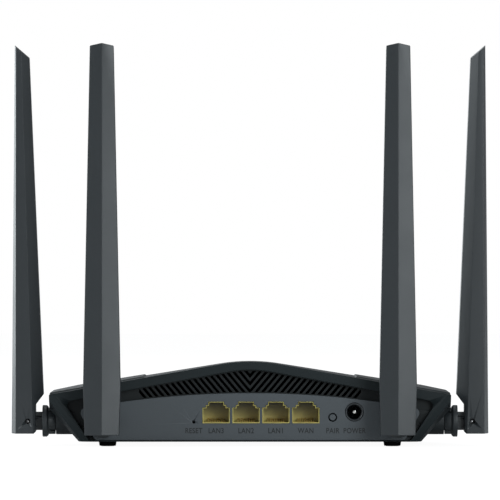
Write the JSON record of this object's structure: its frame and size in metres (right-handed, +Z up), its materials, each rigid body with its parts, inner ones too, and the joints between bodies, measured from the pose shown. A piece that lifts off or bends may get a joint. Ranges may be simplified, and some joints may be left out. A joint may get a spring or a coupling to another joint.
{
  "type": "wireless router",
  "caption": "Low faceted wireless router with folding blade antennas on the rear and sides, a louvred rear vent and a grey port panel.",
  "frame": {"origin": "centre of the bounding box's base, on the plane that the feet stand on", "axes": "+Z up; the ports face -Y; +X is to the right when looking at the ports and runs along the longest extent"},
  "size_m": [0.218, 0.1404, 0.1831],
  "materials": {
    "case_plastic": "fine spark-eroded texture, satin",
    "grille_plastic": "matt, moulded in black",
    "panel_plastic": "fine spark-eroded texture, matt",
    "antenna_plastic": "fine spark-eroded texture, matt",
    "socket_plastic": "semi-gloss, moulded in dull yellow",
    "gold_plate": "thin gold plate on phosphor bronze",
    "black_plastic": "semi-gloss",
    "nickel_plate": "nickel plate",
    "circuit_board": "green solder resist over glass-fibre board",
    "tin_plate": "tin plate, rolled",
    "chip_epoxy": "black moulding epoxy",
    "thermal_pad": "soft silicone pad",
    "extruded_aluminium": "extruded, clear anodised",
    "capacitor_can": "drawn can",
    "ferrite": "sintered ferrite",
    "clear_plastic": "clear, polished",
    "foot_rubber": "moulded rubber",
    "screw_steel": "zinc plate",
    "label_film": "silver polyester film, blank",
    "lead_jacket": "extruded jacket"
  },
  "bodies": {
    "router_body": {"bottom_case": "case_plastic", "top_cover": "case_plastic", "rear_frame": "case_plastic", "vent_grille": "grille_plastic", "io_panel": "panel_plastic", "main_board": "circuit_board", "ethernet_sockets": "socket_plastic", "ethernet_contacts": "gold_plate", "power_socket": "black_plastic", "power_pin": "nickel_plate", "pair_switch": "black_plastic", "reset_switch": "black_plastic", "radio_shields": "tin_plate", "processor": "chip_epoxy", "memory_chips": "chip_epoxy", "magnetics": "chip_epoxy", "thermal_pad": "thermal_pad", "heat_sink": "extruded_aluminium", "capacitors": "capacitor_can", "inductors": "ferrite", "led_chips": "clear_plastic", "light_pipe": "clear_plastic", "rubber_feet": "foot_rubber", "board_screws": "screw_steel", "case_screws": "screw_steel", "rating_label": "label_film", "lead_connectors": "nickel_plate", "antenna_lead_left_rear": "lead_jacket", "antenna_lead_right_rear": "lead_jacket", "antenna_lead_left_side": "lead_jacket", "antenna_lead_right_side": "lead_jacket"},
    "pair_button": {"pair_button": "panel_plastic", "pair_plunger": "black_plastic"},
    "reset_plunger": {"reset_plunger": "black_plastic"},
    "barrel_left_rear": {"hinge_barrel_left_rear": "antenna_plastic"},
    "blade_left_rear": {"antenna_front_left_rear": "antenna_plastic", "antenna_back_left_rear": "antenna_plastic", "antenna_radiator_left_rear": "circuit_board", "pivot_pin_left_rear": "screw_steel"},
    "barrel_right_rear": {"hinge_barrel_right_rear": "antenna_plastic"},
    "blade_right_rear": {"antenna_front_right_rear": "antenna_plastic", "antenna_back_right_rear": "antenna_plastic", "antenna_radiator_right_rear": "circuit_board", "pivot_pin_right_rear": "screw_steel"},
    "barrel_left_side": {"hinge_barrel_left_side": "antenna_plastic"},
    "blade_left_side": {"antenna_front_left_side": "antenna_plastic", "antenna_back_left_side": "antenna_plastic", "antenna_radiator_left_side": "circuit_board", "pivot_pin_left_side": "screw_steel"},
    "barrel_right_side": {"hinge_barrel_right_side": "antenna_plastic"},
    "blade_right_side": {"antenna_front_right_side": "antenna_plastic", "antenna_back_right_side": "antenna_plastic", "antenna_radiator_right_side": "circuit_board", "pivot_pin_right_side": "screw_steel"}
  },
  "joints": [
    {"name": "swivel_left_rear", "type": "hinge", "parent": "router_body", "child": "barrel_left_rear", "pos_m": [-0.067, -0.0626, 0.0113], "axis": [0, 1, 0], "range_deg": [-90, 40]},
    {"name": "tilt_left_rear", "type": "hinge", "parent": "barrel_left_rear", "child": "blade_left_rear", "pos_m": [-0.067, -0.0626, 0.0113], "axis": [1, 0, 0], "range_deg": [0, 90]},
    {"name": "swivel_right_rear", "type": "hinge", "parent": "router_body", "child": "barrel_right_rear", "pos_m": [0.067, -0.0626, 0.0113], "axis": [0, 1, 0], "range_deg": [-40, 90]},
    {"name": "tilt_right_rear", "type": "hinge", "parent": "barrel_right_rear", "child": "blade_right_rear", "pos_m": [0.067, -0.0626, 0.0113], "axis": [1, 0, 0], "range_deg": [0, 90]},
    {"name": "swivel_left_side", "type": "hinge", "parent": "router_body", "child": "barrel_left_side", "pos_m": [-0.1014, -0.0328, 0.0113], "axis": [1, 0, 0], "range_deg": [-90, 90]},
    {"name": "tilt_left_side", "type": "hinge", "parent": "barrel_left_side", "child": "blade_left_side", "pos_m": [-0.1014, -0.0328, 0.0113], "axis": [0, -1, 0], "range_deg": [0, 90]},
    {"name": "swivel_right_side", "type": "hinge", "parent": "router_body", "child": "barrel_right_side", "pos_m": [0.1014, -0.0328, 0.0113], "axis": [-1, 0, 0], "range_deg": [-90, 90]},
    {"name": "tilt_right_side", "type": "hinge", "parent": "barrel_right_side", "child": "blade_right_side", "pos_m": [0.1014, -0.0328, 0.0113], "axis": [0, 1, 0], "range_deg": [0, 90]},
    {"name": "pair_press", "type": "slide", "parent": "router_body", "child": "pair_button", "axis": [0, 1, 0], "range_m": [0, 0.0003], "stiffness_N_per_m": 1500, "springref_m": -0.0004},
    {"name": "reset_press", "type": "slide", "parent": "router_body", "child": "reset_plunger", "axis": [0, 1, 0], "range_m": [0, 0.00025], "stiffness_N_per_m": 1500, "springref_m": -0.0004}
  ]
}
